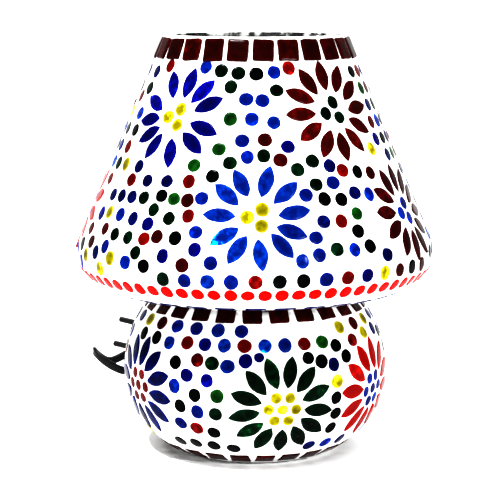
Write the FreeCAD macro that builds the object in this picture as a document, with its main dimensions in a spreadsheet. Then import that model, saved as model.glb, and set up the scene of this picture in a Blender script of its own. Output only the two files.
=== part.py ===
# Mosaic glass table lamp: one blown glass vessel covered with glass pieces set in white grout,
# with a lampholder in its waist, a bulb, and a flat flex that leaves through the back of the base.
# Millimetres. +Z is up, the foot stands on z = 0, the axis is x = y = 0 and the front faces -Y.
import FreeCAD, Part
import Sketcher
import math
import os

from FreeCAD import Matrix, Placement, Rotation, Vector

doc = FreeCAD.newDocument("MosaicLamp")

# ---------------------------------------------------------------- driving dimensions
SIZES = {
    # outer faces of the mosaic
    "rim_height": 259.5,
    "mouth_radius": 56.2,
    "shade_radius": 110.8,
    "edge_height": 124.5,
    "edge_top_radius": 34.0,
    "edge_low_radius": 17.0,
    "underside_radius": 36.0,
    "belly_radius": 82.5,
    "belly_height": 51.5,
    "shoulder_radius": 67.0,
    "waist_radius": 20.0,
    "groove_radius": 2.4,
    "groove_centre": 52.0,
    "belly_low_radius": 54.7,
    "foot_step": 1.5,
    # layers
    "glass_wall": 3.0,
    "mosaic_depth": 3.0,
    "bed_gap": 0.3,
    "bed_depth": 1.6,
    "bed_low": 1.9,
    "glass_rim_step": 1.2,
    "lip_height": 2.4,
    "piece_thickness": 1.25,
    "floor_thickness": 4.0,
    # mosaic pieces
    "tile_side": 12.4,
    "rim_tile_proud": 0.9,
    "dot_radius": 4.3,
    "small_dot_radius": 3.4,
    "least_dot_radius": 3.6,
    "petal_length": 19.6,
    "petal_width": 9.0,
    "oval_radius": 4.1,
    # lampholder
    "plate_radius": 47.0,
    "plate_height": 115.2,
    "plate_thickness": 1.2,
    "collar_radius": 42.8,
    "tube_radius": 4.9,
    "tube_bore": 3.6,
    "thread_hole": 5.3,
    "nut_across": 16.0,
    "nut_thickness": 4.2,
    "washer_thickness": 1.2,
    "washer_radius": 9.0,
    "cap_radius": 19.5,
    "cap_top": 142.0,
    "block_radius": 16.8,
    "block_low": 129.0,
    "block_top": 139.0,
    "terminal_offset": 9.0,
    "terminal_screw": 1.6,
    "terminal_head": 3.0,
    "shell_radius": 14.3,
    "shell_bore": 13.7,
    "shell_top": 163.0,
    "skirt_top": 172.0,
    "skirt_bore": 15.6,
    # bulb
    "bulb_low": 141.6,
    "bulb_cap_radius": 13.2,
    "bulb_cap_top": 168.0,
    "bulb_radius": 30.0,
    "bulb_centre": 216.6,
    "bulb_glass_wall": 0.8,
    "bulb_neck_radius": 13.5,
    # cord
    "flex_radius": 2.8,
    "outlet_height": 20.0,
    "outlet_turn": 25.0,
    "outlet_hole": 5.0,
    "grommet_bore": 3.1,
    "grommet_flange": 7.6,
    "grommet_nose": 12.0,
    "hank_left": -82,
    "hank_right": 32,
    "hank_side": 106.0,
    "hank_end_radius": 19.8,
    "hank_height": 23.2,
    "hank_waist": 11,
    "tie_width": 4.0,
    "tie_thickness": 1.2,
    # plug
    "plug_side": 100.0,
    "pin_radius": 2.0,
    "pin_length": 19.0,
    "pin_spacing": 17.4,
    "plug_height": 34.0,
    "plug_thickness": 14.0,
    "plug_length": 30,
    "plug_tail": 18.0,
    "plug_tilt": 13.8,
}

sheet = doc.addObject("Spreadsheet::Sheet", "Sizes")
for row, (alias, value) in enumerate(SIZES.items(), start=1):
    sheet.set(f"A{row}", alias)
    sheet.set(f"B{row}", str(value))
    sheet.setAlias(f"B{row}", alias)
doc.recompute()


class Size:
    """A sheet cell, or a sum of cells: its number now and the expression that keeps it bound."""

    def __init__(self, number, text):
        self.number = number
        self.text = text

    def __add__(self, other):
        return Size(self.number + number_of(other), f"({self.text} + {text_of(other)})")

    def __sub__(self, other):
        return Size(self.number - number_of(other), f"({self.text} - {text_of(other)})")

    def __mul__(self, other):
        return Size(self.number * number_of(other), f"({self.text} * {text_of(other)})")


def number_of(value):
    return value.number if isinstance(value, Size) else float(value)


def text_of(value):
    return value.text if isinstance(value, Size) else str(value)


def size(alias):
    return Size(float(sheet.get(alias)), f"Sizes.{alias}")


def number(alias):
    return float(sheet.get(alias))


# ---------------------------------------------------------------- helpers
def lathe(name, outline):
    """A body turned about its own Z axis: outline is a closed loop of (radius, height) sizes."""
    body = doc.addObject("PartDesign::Body", name)
    body.Label = name
    sketch = body.newObject("Sketcher::SketchObject", name + "_outline")
    planes = {feature.Role: feature for feature in body.Origin.OriginFeatures}
    sketch.AttachmentSupport = (planes["XZ_Plane"], [""])
    sketch.MapMode = "FlatFace"
    count = len(outline)
    corners = [Vector(number_of(r), number_of(z), 0) for r, z in outline]
    for i in range(count):
        sketch.addGeometry(Part.LineSegment(corners[i], corners[(i + 1) % count]), False)
    for i in range(count):
        sketch.addConstraint(Sketcher.Constraint("Coincident", i, 2, (i + 1) % count, 1))
    bound = []
    for i, (r, z) in enumerate(outline):
        if number_of(r) == 0:
            sketch.addConstraint(Sketcher.Constraint("PointOnObject", i, 1, -2))
        else:
            at = sketch.addConstraint(Sketcher.Constraint("DistanceX", -1, 1, i, 1, number_of(r)))
            bound.append((at, r))
        if number_of(z) == 0:
            sketch.addConstraint(Sketcher.Constraint("PointOnObject", i, 1, -1))
        else:
            at = sketch.addConstraint(Sketcher.Constraint("DistanceY", -1, 1, i, 1, number_of(z)))
            bound.append((at, z))
    for at, value in bound:
        if isinstance(value, Size):
            sketch.setExpression(f"Constraints[{at}]", value.text)
    turned = body.newObject("PartDesign::Revolution", name + "_turned")
    turned.Profile = sketch
    turned.ReferenceAxis = (sketch, ["V_Axis"])
    turned.Angle = 360
    body.Tip = turned
    return body


def primitive(kind, name, place=None, **values):
    """A Part primitive whose sizes are bound to the sheet."""
    made = doc.addObject("Part::" + kind, name)
    for key, value in values.items():
        setattr(made, key, number_of(value))
        if isinstance(value, Size):
            made.setExpression(key, value.text)
    if place is not None:
        made.Placement = place
    return made


def joined(kind, name, *parts):
    """A boolean of two or more objects: Cut, Fuse, Common or MultiFuse."""
    made = doc.addObject("Part::" + kind, name)
    if kind == "MultiFuse":
        made.Shapes = list(parts)
    else:
        made.Base, made.Tool = parts
    return made


def feature(name, shape):
    made = doc.addObject("Part::Feature", name)
    made.Shape = shape
    return made


def at_height(z):
    return Placement(Vector(0, 0, z), Rotation())


def polar(centre, radius, degrees):
    """The point of a circle in the (radius, height) plane."""
    angle = math.radians(degrees)
    return (centre[0] + radius * math.cos(angle), centre[1] + radius * math.sin(angle))


def flat(point):
    return Vector(point[0], 0, point[1])


def arc(centre, radius, start, end):
    middle = polar(centre, radius, (start + end) / 2)
    ends = polar(centre, radius, start), polar(centre, radius, end)
    return Part.Arc(flat(ends[0]), flat(middle), flat(ends[1])).toShape()


def line(start, end):
    return Part.LineSegment(flat(start), flat(end)).toShape()


def turned_face(edges):
    """Closes a chain of edges in the XZ plane and turns the face about the Z axis."""
    wire = Part.Wire(edges)
    return Part.Face(wire).revolve(Vector(0, 0, 0), Vector(0, 0, 1), 360)


def revolved_tool(points):
    corners = [flat(point) for point in points]
    corners.append(corners[0])
    return Part.Face(Part.makePolygon(corners)).revolve(Vector(0, 0, 0), Vector(0, 0, 1), 360)


# ---------------------------------------------------------------- the vessel's outline
EDGE_TOP = (number("shade_radius") - number("edge_top_radius"), number("edge_height"))
EDGE_LOW = (number("shade_radius") - number("edge_low_radius"), number("edge_height"))
LOW_TURN = -45.0
UNDERSIDE = polar(EDGE_LOW, number("edge_low_radius") - number("underside_radius"), LOW_TURN)
SHOULDER = (number("belly_radius") - number("shoulder_radius"), number("belly_height"))
WAIST_TURN = 47.3
WAIST = polar(SHOULDER, number("shoulder_radius") - number("waist_radius"), WAIST_TURN)
BELLY_LOW = (number("belly_radius") - number("belly_low_radius"), number("belly_height"))


def cone_angle():
    """The slope of the shade, from the vertical, that leads from the mouth to its rounded edge."""
    across = EDGE_TOP[0] - number("mouth_radius")
    down = number("rim_height") - EDGE_TOP[1]
    far = math.hypot(across, down)
    return math.degrees(math.asin(number("edge_top_radius") / far) + math.atan2(across, down))


CONE_TURN = cone_angle()


def groove():
    """The circle that rounds the groove of the waist, and the turn at which the underside meets it."""
    reach = number("waist_radius") + number("groove_radius")
    across = number("groove_centre") - WAIST[0]
    centre = (number("groove_centre"), WAIST[1] + math.sqrt(reach**2 - across**2))
    far = math.hypot(UNDERSIDE[0] - centre[0], UNDERSIDE[1] - centre[1])
    lean = math.degrees(math.asin((number("underside_radius") + number("groove_radius")) / far))
    rise = math.degrees(math.atan2(UNDERSIDE[1] - centre[1], UNDERSIDE[0] - centre[0]))
    return centre, -90 - (lean - rise)


GROOVE, UNDERSIDE_TURN = groove()
WAIST_TOP_TURN = math.degrees(math.atan2(GROOVE[1] - WAIST[1], GROOVE[0] - WAIST[0]))


def turn_down_to(centre, radius, height):
    """The turn of a circle, below its centre, at which it reaches a height."""
    return -math.degrees(math.asin((centre[1] - height) / radius))


def vessel_edges(depth, rim_height, low_height):
    """The vessel's outline, the given depth inside the mosaic's faces: its top, its bottom, its edges."""
    cone_low = polar(EDGE_TOP, number("edge_top_radius") - depth, CONE_TURN)
    slope = math.tan(math.radians(CONE_TURN))
    rim = (cone_low[0] - (rim_height - cone_low[1]) * slope, rim_height)
    under = number("underside_radius") - depth
    around = number("groove_radius") + depth
    bowl = number("belly_low_radius") - depth
    low_turn = turn_down_to(BELLY_LOW, bowl, low_height)
    return rim, polar(BELLY_LOW, bowl, low_turn), [
        line(rim, cone_low),
        arc(EDGE_TOP, number("edge_top_radius") - depth, CONE_TURN, 0),
        arc(EDGE_LOW, number("edge_low_radius") - depth, 0, LOW_TURN),
        arc(UNDERSIDE, under, LOW_TURN, UNDERSIDE_TURN),
        line(polar(UNDERSIDE, under, UNDERSIDE_TURN), polar(GROOVE, around, UNDERSIDE_TURN + 180)),
        arc(GROOVE, around, UNDERSIDE_TURN + 180, WAIST_TOP_TURN + 180),
        arc(WAIST, number("waist_radius") - depth, WAIST_TOP_TURN, WAIST_TURN),
        arc(SHOULDER, number("shoulder_radius") - depth, WAIST_TURN, 0),
        arc(BELLY_LOW, bowl, 0, low_turn),
    ]


def glass_shape():
    """The blown glass: open at the rim, flat inside the bottom, ground flat under the foot."""
    depth = number("mosaic_depth")
    top = number("rim_height") - number("glass_rim_step")
    rim, foot_top, outside = vessel_edges(depth, top, number("foot_step"))
    inner_rim, well, inside = vessel_edges(depth + number("glass_wall"), top, number("floor_thickness"))
    foot = (foot_top[0], 0)
    floor = [
        line(foot_top, foot),
        line(foot, (0, 0)),
        line((0, 0), (0, well[1])),
        line((0, well[1]), well),
    ]
    return turned_face(outside + floor + inside[::-1] + [line(inner_rim, rim)])


def split_at_waist(shape):
    """The glass above and below its narrowest place; the shade's edge hangs lower than that."""
    shade_low = UNDERSIDE[1] - number("underside_radius")
    belly = Part.makeCylinder(number("shade_radius"), shade_low)
    neck = Part.makeCylinder(GROOVE[0] + 6, GROOVE[1])
    below = belly.fuse(neck)
    return shape.cut(below), shape.common(below)


def grout_shape():
    """The bed of grout from the lip to the foot, with a full lip round the mouth."""
    top = number("rim_height")
    low = number("bed_low")
    inner_rim, low_in, inside = vessel_edges(number("mosaic_depth") - number("bed_gap"), top, low)
    rim, low_out, outside = vessel_edges(number("bed_depth"), top, low)
    bed = turned_face(outside + [line(low_out, low_in)] + inside[::-1] + [line(inner_rim, rim)])
    lip_height = number("lip_height")
    spread = lip_height * math.tan(math.radians(CONE_TURN))
    lip = revolved_tool(
        [
            (rim[0] - 1.0, top),
            (rim[0] + 1.2, top),
            (rim[0] + 1.6 + spread, top - lip_height),
            (rim[0] - 0.6 + spread, top - lip_height),
        ]
    )
    return bed.fuse(lip).removeSplitter()


def outlet():
    """The cord outlet's frame: Z leads out through the back of the bowl, its origin on the glass."""
    bowl = number("belly_low_radius") - number("mosaic_depth")
    turn = turn_down_to(BELLY_LOW, bowl, number("outlet_height"))
    point = polar(BELLY_LOW, bowl, turn)
    around = math.radians(number("outlet_turn"))
    back = Vector(math.sin(around), math.cos(around), 0)
    lean = math.radians(turn)
    out = back * math.cos(lean) + Vector(0, 0, math.sin(lean))
    base = back * point[0] + Vector(0, 0, point[1])
    return base, out, back


OUTLET, OUTLET_OUT, OUTLET_BACK = outlet()


def bored(shape, radius):
    """The shape with a hole round the cord outlet."""
    reach = 15.0
    start = OUTLET - OUTLET_OUT * reach
    return shape.cut(Part.makeCylinder(radius, 2 * reach, start, OUTLET_OUT))


upper_glass, lower_glass = split_at_waist(bored(glass_shape(), number("outlet_hole")))
feature("glass_shade", upper_glass)
feature("glass_base", lower_glass)
feature("grout_bed", bored(grout_shape(), number("grommet_flange") + 0.7))


# ---------------------------------------------------------------- the mosaic
class Skin:
    """The mosaic's outer face as a path from top to bottom: where each piece sits and how it leans."""

    def __init__(self, stretches):
        self.stretches = stretches

    def at(self, along):
        """(radius, height, lean of the outward normal in degrees) at a distance down the path."""
        for stretch in self.stretches:
            if along <= stretch["length"] or stretch is self.stretches[-1]:
                return stretch["place"](along)
            along -= stretch["length"]

    def along(self, height):
        """The distance down the path at which it passes a height."""
        low, high = 0.0, sum(stretch["length"] for stretch in self.stretches)
        for _ in range(50):
            middle = (low + high) / 2
            if self.at(middle)[1] > height:
                low = middle
            else:
                high = middle
        return (low + high) / 2


def straight_stretch(start, end, lean):
    length = math.dist(start, end)

    def place(along):
        share = along / length
        return (start[0] + (end[0] - start[0]) * share, start[1] + (end[1] - start[1]) * share, lean)

    return {"length": length, "place": place}


def round_stretch(centre, radius, start, end):
    def place(along):
        lean = start - math.degrees(along / radius)
        return (*polar(centre, radius, lean), lean)

    return {"length": math.radians(start - end) * radius, "place": place}


RIM = (number("mouth_radius"), number("rim_height"))
SHADE = Skin(
    [
        straight_stretch(RIM, polar(EDGE_TOP, number("edge_top_radius"), CONE_TURN), CONE_TURN),
        round_stretch(EDGE_TOP, number("edge_top_radius"), CONE_TURN, 0),
        round_stretch(EDGE_LOW, number("edge_low_radius"), 0, LOW_TURN),
        round_stretch(UNDERSIDE, number("underside_radius"), LOW_TURN, -89),
    ]
)
BASE = Skin(
    [
        round_stretch(SHOULDER, number("shoulder_radius"), WAIST_TURN, 0),
        round_stretch(BELLY_LOW, number("belly_low_radius"), 0, -70),
    ]
)

pieces = {}
placed = []


def seat(skin, turn, along, spin=0.0, proud=0.0):
    """The frame of a piece: X round the lamp, Y up the wall, Z outwards, its origin under the piece."""
    radius, height, lean = skin.at(along)
    around, tilt = math.radians(turn), math.radians(lean)
    outward = Vector(math.sin(around), -math.cos(around), 0)
    side = Vector(math.cos(around), math.sin(around), 0)
    normal = outward * math.cos(tilt) + Vector(0, 0, math.sin(tilt))
    up = normal.cross(side)
    turned = math.radians(spin)
    along_piece = up * math.cos(turned) + side * math.sin(turned)
    across_piece = along_piece.cross(normal)
    sunk = number("piece_thickness") - proud
    base = outward * radius + Vector(0, 0, height) - normal * sunk
    matrix = Matrix(
        across_piece.x, along_piece.x, normal.x, base.x,
        across_piece.y, along_piece.y, normal.y, base.y,
        across_piece.z, along_piece.z, normal.z, base.z,
        0, 0, 0, 1,
    )
    return matrix, base + normal * sunk


def add_piece(node, shape, matrix):
    pieces.setdefault(node, []).append(shape.transformed(matrix))


def round_piece(radius):
    return Part.makeCylinder(radius, number("piece_thickness"))


def tile_piece(width, height):
    corner = Vector(-width / 2, -height / 2, 0)
    return Part.makeBox(width, height, number("piece_thickness"), corner)


def petal_piece(length, width):
    """A pointed lens: two equal arcs."""
    low, high = Vector(0, -length / 2, 0), Vector(0, length / 2, 0)
    sides = [
        Part.Arc(low, Vector(width / 2, 0, 0), high).toShape(),
        Part.Arc(high, Vector(-width / 2, 0, 0), low).toShape(),
    ]
    return Part.Face(Part.Wire(sides)).extrude(Vector(0, 0, number("piece_thickness")))


def moved(skin, turn, along, across, up):
    """The place on the skin that lies across (to the right) and up from a place, in millimetres."""
    new_along = along - up
    radius = skin.at(new_along)[0]
    return turn + math.degrees(across / radius), new_along


def add_dot(skin, turn, along, colour, radius):
    matrix, point = seat(skin, turn, along)
    add_piece("dots_" + colour, round_piece(radius), matrix)
    placed.append((point, radius))


def ring(node, skin, height, count, first_turn, shape, proud=0.0):
    """A row of equal pieces all round the lamp."""
    along = skin.along(height)
    for i in range(count):
        matrix, point = seat(skin, first_turn + i * 360 / count, along, 0.0, proud)
        add_piece(node, shape, matrix)
        placed.append((point, shape.BoundBox.XLength / 2))


def flower(skin, turn, height, petals, first, colour, inner, dots, dot_colour):
    """Petals round a cluster of dots: a number of them or their angles, their tips on a ring, inner."""
    length, width = number("petal_length"), number("petal_width")
    along = skin.along(height)
    shape = petal_piece(length, width)
    angles = petals if isinstance(petals, list) else [first + i * 360 / petals for i in range(petals)]
    for angle in angles:
        direction = math.sin(math.radians(angle)), math.cos(math.radians(angle))
        reach = inner + length / 2
        place = moved(skin, turn, along, reach * direction[0], reach * direction[1])
        matrix, _ = seat(skin, *place, angle)
        add_piece("petals_" + colour, shape, matrix)
        for share in (-0.3, 0.0, 0.3):
            step = reach + share * length
            spot = moved(skin, turn, along, step * direction[0], step * direction[1])
            placed.append((seat(skin, *spot)[1], width * (0.5 - abs(share) * 0.3)))
    few = dots <= 3
    radius = number("dot_radius") - 0.1 if few else number("small_dot_radius")
    circle = dots if few else dots - 1
    reach = 5.6 if few else 8.4
    for i in range(circle):
        angle = math.radians(first + 20 + i * 360 / circle)
        place = moved(skin, turn, along, reach * math.sin(angle), reach * math.cos(angle))
        add_dot(skin, *place, dot_colour, radius)
    if not few:
        add_dot(skin, turn, along, dot_colour, radius)


COLOURS = {
    "n": "navy",
    "d": "deep_blue",
    "b": "blue",
    "c": "bright_blue",
    "G": "dark_green",
    "g": "green",
    "K": "black",
    "m": "maroon",
    "r": "red",
    "y": "olive",
}


def settled(skin, turn, along, radius, gap):
    """A place near the one asked for where a dot keeps its gap, and the dot's radius there."""
    for _ in range(12):
        matrix, point = seat(skin, turn, along)
        near = min(placed, key=lambda item: (point - item[0]).Length - item[1])
        short = radius + gap - ((point - near[0]).Length - near[1])
        if short <= 0:
            return turn, along, radius
        away = point - near[0]
        side = Vector(matrix.A11, matrix.A21, matrix.A31)
        up = Vector(matrix.A12, matrix.A22, matrix.A32)
        across, rise = away.dot(side), away.dot(up)
        scale = (short + 0.05) / max(math.hypot(across, rise), 0.1)
        turn, along = moved(skin, turn, along, across * scale, rise * scale)
        radius = max(radius - 0.06, number("least_dot_radius"))
    point = seat(skin, turn, along)[1]
    room = min((point - other).Length - reach for other, reach in placed) - gap
    return turn, along, min(radius, room)


def garland(skin, first, last, bulge, letters):
    """Dots evenly along a bow from one (turn, height) to another, which rises by bulge half way."""
    for i, letter in enumerate(letters):
        share = i / max(len(letters) - 1, 1)
        turn = first[0] + (last[0] - first[0]) * share
        height = first[1] + (last[1] - first[1]) * share + bulge * 4 * share * (1 - share)
        turn, along, radius = settled(skin, turn, skin.along(height), number("dot_radius"), 0.35)
        if radius > 2.6:
            add_dot(skin, turn, along, COLOURS[letter], radius)
        else:
            print("no room for a dot at", round(turn, 1), round(height, 1), round(radius, 2))


def clears(point, radius, gap):
    return all((point - other).Length >= radius + reach + gap for other, reach in placed)


def fill(skin, first_turn, last_turn, high, low, letters):
    """Rows of dots wherever the flowers and the garlands leave room."""
    radius = number("dot_radius")
    row_step, dot_step, gap = 5.4, 3.6, 1.5
    used = 0
    for row in range(int((skin.along(low) - skin.along(high)) / row_step) + 1):
        along = skin.along(high) + row * row_step
        step = math.degrees(dot_step / skin.at(along)[0])
        turn = first_turn + (row % 3) * step / 3
        while turn < last_turn:
            if clears(seat(skin, turn, along)[1], radius, gap):
                add_dot(skin, turn, along, COLOURS[letters[used % len(letters)]], radius)
                used += 1
            turn += step


TILE = number("tile_side")
RIM_TILE = tile_piece(TILE, TILE - 1.2)
ring("rim_tiles", SHADE, 251.8, 25, 4.5, RIM_TILE, number("rim_tile_proud"))
ring("edge_ovals", SHADE, 114.4, 69, -2.3, round_piece(number("oval_radius")))
ring("underside_tiles", SHADE, 103.1, 33, 0.0, tile_piece(TILE, TILE - 1.6))
ring("shoulder_tiles", BASE, 96.1, 26, -1.5, tile_piece(TILE - 0.6, TILE))
ring("foot_tiles", BASE, 5.6, 24, 6.0, tile_piece(TILE - 0.6, TILE - 1.6))

# the angles of petals that are set unevenly, clockwise from the top
UNEVEN_LEFT = [11, 41, 67, 106, 133, 172, 212, 237.5, 263, 291, 337]
UNEVEN_MIDDLE = [14, 49, 83, 113, 139, 175, 211, 239, 273, 308, 336]
# turn, height, petals, first petal's angle, petal colour, inner radius, dots, dot colour
for bloom in [
    (-38.2, 212.9, UNEVEN_LEFT, 8, "deep_blue", 12.2, 3, "olive"),
    (37.7, 216.5, 12, -3, "maroon", 12.2, 3, "dark_green"),
    (109.0, 213.0, 11, 5, "dark_green", 12.5, 3, "red"),
    (180.0, 214.0, 12, 0, "deep_blue", 12.5, 3, "olive"),
    (251.0, 212.0, 11, 12, "maroon", 12.5, 3, "bright_blue"),
    (0.5, 158.6, UNEVEN_MIDDLE, 12, "bright_blue", 12.2, 3, "olive"),
    (63.4, 155.4, 12, 4, "oxblood", 11.5, 3, "blue"),
    (133.0, 157.0, 11, 10, "navy", 11.5, 3, "red"),
    (202.5, 158.0, 12, 0, "dark_green", 11.5, 3, "olive"),
    (271.0, 156.0, 11, 6, "red", 11.5, 3, "blue"),
]:
    flower(SHADE, *bloom)
for bloom in [
    (11.4, 41.5, 13, 12, "dark_green", 13.2, 7, "olive"),
    (-60.2, 47.8, 12, 10, "navy", 12.5, 7, "red"),
    (61.5, 45.5, 12, 5, "red", 12.5, 7, "blue"),
    (121.0, 45.0, 12, 0, "deep_blue", 12.5, 7, "olive"),
    (180.0, 47.5, 12, 8, "maroon", 12.5, 7, "green"),
    (240.0, 45.0, 12, 4, "dark_green", 12.5, 7, "red"),
]:
    flower(BASE, *bloom)

for bow in [
    ((-28.8, 122.5), (64.8, 124.0), 0, "GbcbrKKbrdymKm"),
    ((-60.3, 132), (-60.3, 132), 0, "n"),
    ((-55.2, 136.5), (-55.2, 136.5), 0, "n"),
    ((-51.2, 130.6), (-36, 129), 0, "ybK"),
    ((-40.0, 136), (-40.0, 136), 0, "G"),
    ((-65.5, 137), (-65.5, 137), 0, "m"),
    ((-52, 242), (-28, 241.5), 0, "rb"),
    ((-18, 240), (19, 241), -2, "GGKbr"),
    ((-12, 231), (11, 229), -7, "GbbG"),
    ((-11, 213), (8, 211), 1, "gbc"),
    ((-24, 186.5), (22.5, 189), 14, "ggbmdG"),
    ((-16, 181), (22.5, 176), 14, "KGbGmGG"),
    ((29.5, 186.5), (29.5, 176.5), 0, "nb"),
    ((-61, 183.5), (-51, 183.5), 0, "yn"),
    ((-53, 175.5), (-25, 177.5), 0, "rnnr"),
    ((-62, 165.5), (-43, 166.5), 0, "nnnG"),
    ((-35, 169.5), (-19, 168.5), -2, "Kgmb"),
    ((-37, 160.5), (-23, 158.5), -3, "GGr"),
    ((-60, 155.5), (-38, 152.5), 1, "ybnd"),
    ((-33, 146), (-19.5, 150), -2, "mKb"),
    ((-59, 146), (-38, 144.5), -1.5, "mGGr"),
    ((-29.5, 135.8), (-19, 140.5), 0, "dd"),
    ((-22.5, 131.5), (-13.5, 133.5), 0, "mb"),
    ((35, 183), (49, 180), 0, "rKm"),
    ((18, 170.5), (31.5, 167), -1, "bKK"),
    ((38, 170), (45.2, 168.5), 0, "nb"),
    ((23, 155.4), (29.6, 155), 0, "nr"),
    ((36.5, 158.5), (35.2, 148.8), 0, "gK"),
    ((19.5, 147), (19.8, 137.5), 0, "bb"),
    ((14.2, 134.5), (14.2, 134.5), 0, "c"),
    ((26, 140), (38.5, 140), -1, "GbK"),
    ((45, 134), (45, 134), 0, "n"),
]:
    garland(SHADE, *bow)
for bow in [
    ((-74, 87.2), (-6.5, 87.2), 0, "nymbbcb"),
    ((44, 86), (78, 87.5), 0, "ymyn"),
    ((-63.5, 78), (-42, 77.5), 0, "KKc"),
    ((-32, 79), (31.5, 79.5), 0, "rdcrccrg"),
    ((38.5, 76.5), (72, 80), 0, "Kmyn"),
    ((-25.5, 70), (-11.8, 67.5), 0, "mGc"),
    ((-4.2, 71.5), (2.6, 72.5), 0, "dd"),
    ((23.5, 70.5), (35.5, 66), 0.5, "KKn"),
    ((43.2, 69.5), (43.2, 69.5), 0, "K"),
    ((-36.4, 67), (-36.4, 67), 0, "K"),
    ((-30, 60.5), (-20.5, 58.5), 0, "dd"),
    ((-36, 53), (-36, 53), 0, "b"),
    ((-26, 49), (-16, 49.5), 0, "Kg"),
    ((-33.5, 41), (-17, 38.2), -1, "KbG"),
    ((-35, 29.5), (-19, 25.5), 0, "nrK"),
    ((-41, 15.5), (-11, 14.5), 1, "KKKK"),
    ((36.7, 55.7), (36.7, 25.9), 0, "yKKK"),
    ((28, 15), (49, 15), 0, "nbn"),
]:
    garland(BASE, *bow)

outlet_keep_out = OUTLET + OUTLET_OUT * number("mosaic_depth")
placed.append((outlet_keep_out, number("grommet_flange") + 2.0))
MIX = "nGbKrdymcGKbngmKbGdKnr"
fill(SHADE, -66, -47, 243.0, 120.5, MIX)
fill(SHADE, 52, 294, 243.0, 120.5, MIX)
fill(BASE, 70, 292, 86.0, 13.5, MIX)

for node, shapes in pieces.items():
    feature(node, Part.makeCompound(shapes))
print("mosaic pieces", sum(len(shapes) for shapes in pieces.values()))


# ---------------------------------------------------------------- the lampholder in the waist
PLATE = size("plate_height")
PLATE_TOP = PLATE + size("plate_thickness")
COLLAR_LOW = PLATE - 7.2
lathe(
    "holder_plate",
    [
        (size("thread_hole"), PLATE),
        (size("collar_radius") - size("plate_thickness"), PLATE),
        (size("collar_radius") - size("plate_thickness"), COLLAR_LOW),
        (size("collar_radius"), COLLAR_LOW),
        (size("collar_radius"), PLATE),
        (size("plate_radius"), PLATE),
        (size("plate_radius"), PLATE_TOP),
        (size("thread_hole"), PLATE_TOP),
    ],
)
TUBE_LOW = PLATE - 11.2
TUBE_TOP = PLATE_TOP + 10.6
lathe(
    "thread_tube",
    [
        (size("tube_bore"), TUBE_LOW),
        (size("tube_radius"), TUBE_LOW),
        (size("tube_radius"), TUBE_TOP),
        (size("tube_bore"), TUBE_TOP),
    ],
)
WASHER_LOW = PLATE - size("washer_thickness")
lathe(
    "lock_washer",
    [
        (size("thread_hole"), WASHER_LOW),
        (size("washer_radius"), WASHER_LOW),
        (size("washer_radius"), PLATE),
        (size("thread_hole"), PLATE),
    ],
)
NUT_LOW = WASHER_LOW - size("nut_thickness")
nut_place = at_height(number_of(NUT_LOW))
nut_height = size("nut_thickness")
hexagon = primitive(
    "Prism", "nut_hexagon", nut_place, Circumradius=size("nut_across") * 0.57735, Height=nut_height
)
hexagon.Polygon = 6
nut_bore = primitive("Cylinder", "nut_bore", nut_place, Radius=size("thread_hole"), Height=nut_height)
joined("Cut", "lock_nut", hexagon, nut_bore)

CAP_TOP = size("cap_top")
lathe(
    "holder_cap",
    [
        (size("thread_hole"), PLATE_TOP),
        (12, PLATE_TOP),
        (17, PLATE_TOP + 4.6),
        (size("cap_radius"), PLATE_TOP + 10.6),
        (size("cap_radius"), CAP_TOP),
        (size("cap_radius") - 2, CAP_TOP),
        (size("cap_radius") - 2, PLATE_TOP + 11.6),
        (size("cap_radius") - 4, PLATE_TOP + 7.1),
        (11, PLATE_TOP + 3),
        (size("thread_hole"), PLATE_TOP + 3),
    ],
)
BLOCK_LOW, BLOCK_TOP = size("block_low"), size("block_top")
block_place = at_height(number_of(BLOCK_LOW))
block_height = BLOCK_TOP - BLOCK_LOW
block = primitive("Cylinder", "block_disc", block_place, Radius=size("block_radius"), Height=block_height)
screws = []
for side, hand in (("a", 1), ("b", -1)):
    spot = Vector(hand * number("terminal_offset"), 0, number_of(BLOCK_LOW))
    hole = primitive(
        "Cylinder",
        "block_hole_" + side,
        Placement(spot, Rotation()),
        Radius=size("terminal_screw") + 0.3,
        Height=block_height,
    )
    block = joined("Cut", "block_with_hole_" + side if side == "a" else "terminal_block", block, hole)
    shaft = primitive(
        "Cylinder",
        "screw_shaft_" + side,
        Placement(spot, Rotation()),
        Radius=size("terminal_screw"),
        Height=block_height - 2,
    )
    head = primitive(
        "Cylinder",
        "screw_head_" + side,
        Placement(spot - Vector(0, 0, 2), Rotation()),
        Radius=size("terminal_head"),
        Height=2,
    )
    screws += [shaft, head]
joined("MultiFuse", "terminal_screws", *screws)

strip = primitive(
    "Box",
    "contact_strip",
    Placement(Vector(-7, -2.5, number_of(BLOCK_TOP)), Rotation()),
    Length=14,
    Width=5,
    Height=0.8,
)
bump = primitive("Cylinder", "contact_bump", at_height(number_of(BLOCK_TOP)), Radius=3, Height=2.2)
joined("MultiFuse", "holder_contact", strip, bump)

lathe(
    "screw_shell",
    [
        (size("shell_bore"), BLOCK_TOP),
        (16.5, BLOCK_TOP),
        (16.5, BLOCK_TOP + 0.8),
        (size("shell_radius"), BLOCK_TOP + 0.8),
        (size("shell_radius"), size("shell_top")),
        (size("shell_bore"), size("shell_top")),
    ],
)
lathe(
    "holder_skirt",
    [
        (size("skirt_bore"), CAP_TOP),
        (size("cap_radius"), CAP_TOP),
        (size("cap_radius"), CAP_TOP + 4),
        (size("cap_radius") - 0.9, size("skirt_top")),
        (size("skirt_bore"), size("skirt_top")),
    ],
)


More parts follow.
